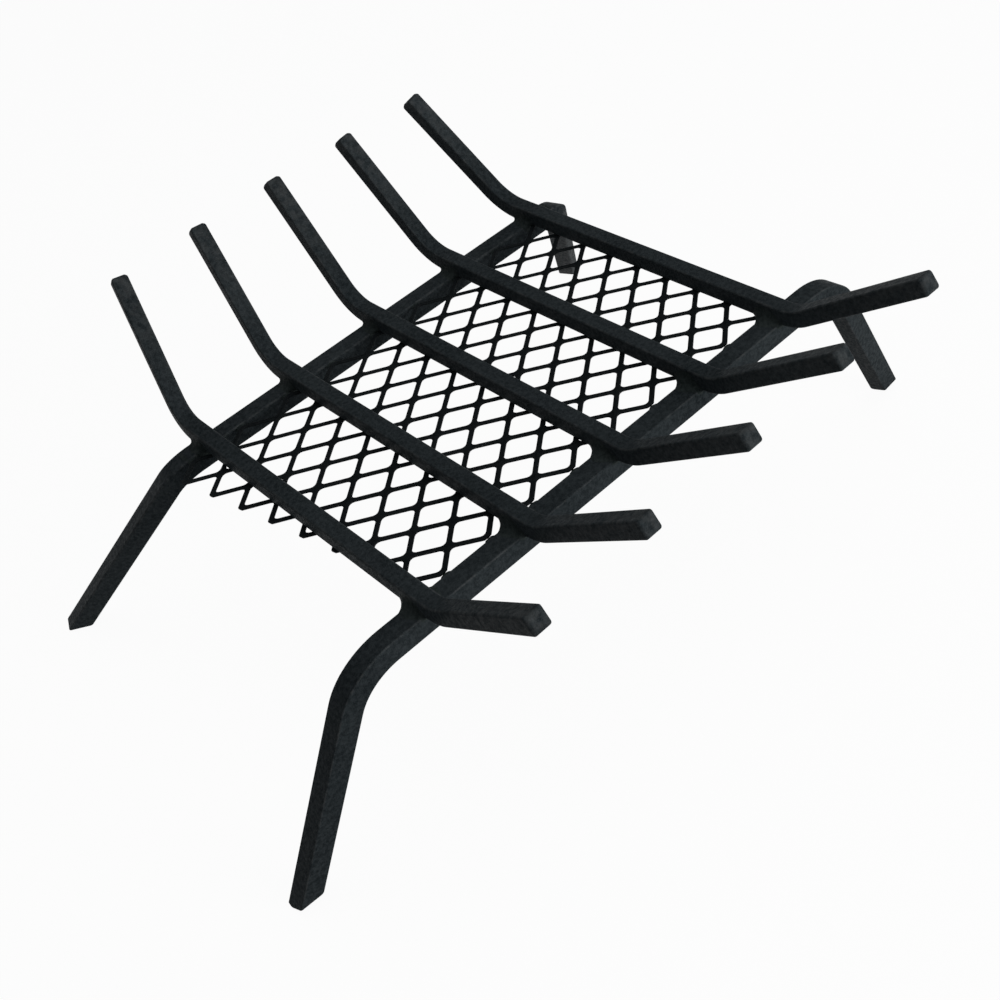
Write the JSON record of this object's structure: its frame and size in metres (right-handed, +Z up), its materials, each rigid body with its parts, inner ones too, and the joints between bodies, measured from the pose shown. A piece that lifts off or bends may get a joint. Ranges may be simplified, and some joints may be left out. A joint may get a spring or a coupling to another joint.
{
  "type": "log grate",
  "caption": "Welded steel fireplace log grate: square bars bent up at both ends on two cross bars with splayed legs, over an expanded mesh that holds embers.",
  "frame": {"origin": "on the floor, at the centre of the grate's overall footprint", "axes": "+Z up, +X along the cross bars towards the grate's right, +Y from the short front arms towards the long rear arms"},
  "size_m": [0.645, 0.5316, 0.2822],
  "materials": {
    "bar_paint": "satin black heat-resistant paint with a fine grain",
    "mesh_paint": "satin black heat-resistant paint, a little darker than on the bars",
    "weld_paint": "weld beads under the same black paint"
  },
  "bodies": {
    "root": {"log_bar_1": "bar_paint", "log_bar_2": "bar_paint", "log_bar_3": "bar_paint", "log_bar_4": "bar_paint", "log_bar_5": "bar_paint", "front_cross_bar": "bar_paint", "rear_cross_bar": "bar_paint", "ember_mesh": "mesh_paint", "front_weld_1": "weld_paint", "front_weld_2": "weld_paint", "front_weld_3": "weld_paint", "front_weld_4": "weld_paint", "front_weld_5": "weld_paint", "rear_weld_1": "weld_paint", "rear_weld_2": "weld_paint", "rear_weld_3": "weld_paint", "rear_weld_4": "weld_paint", "rear_weld_5": "weld_paint", "front_mesh_tacks": "weld_paint", "rear_mesh_tacks": "weld_paint"}
  },
  "joints": []
}
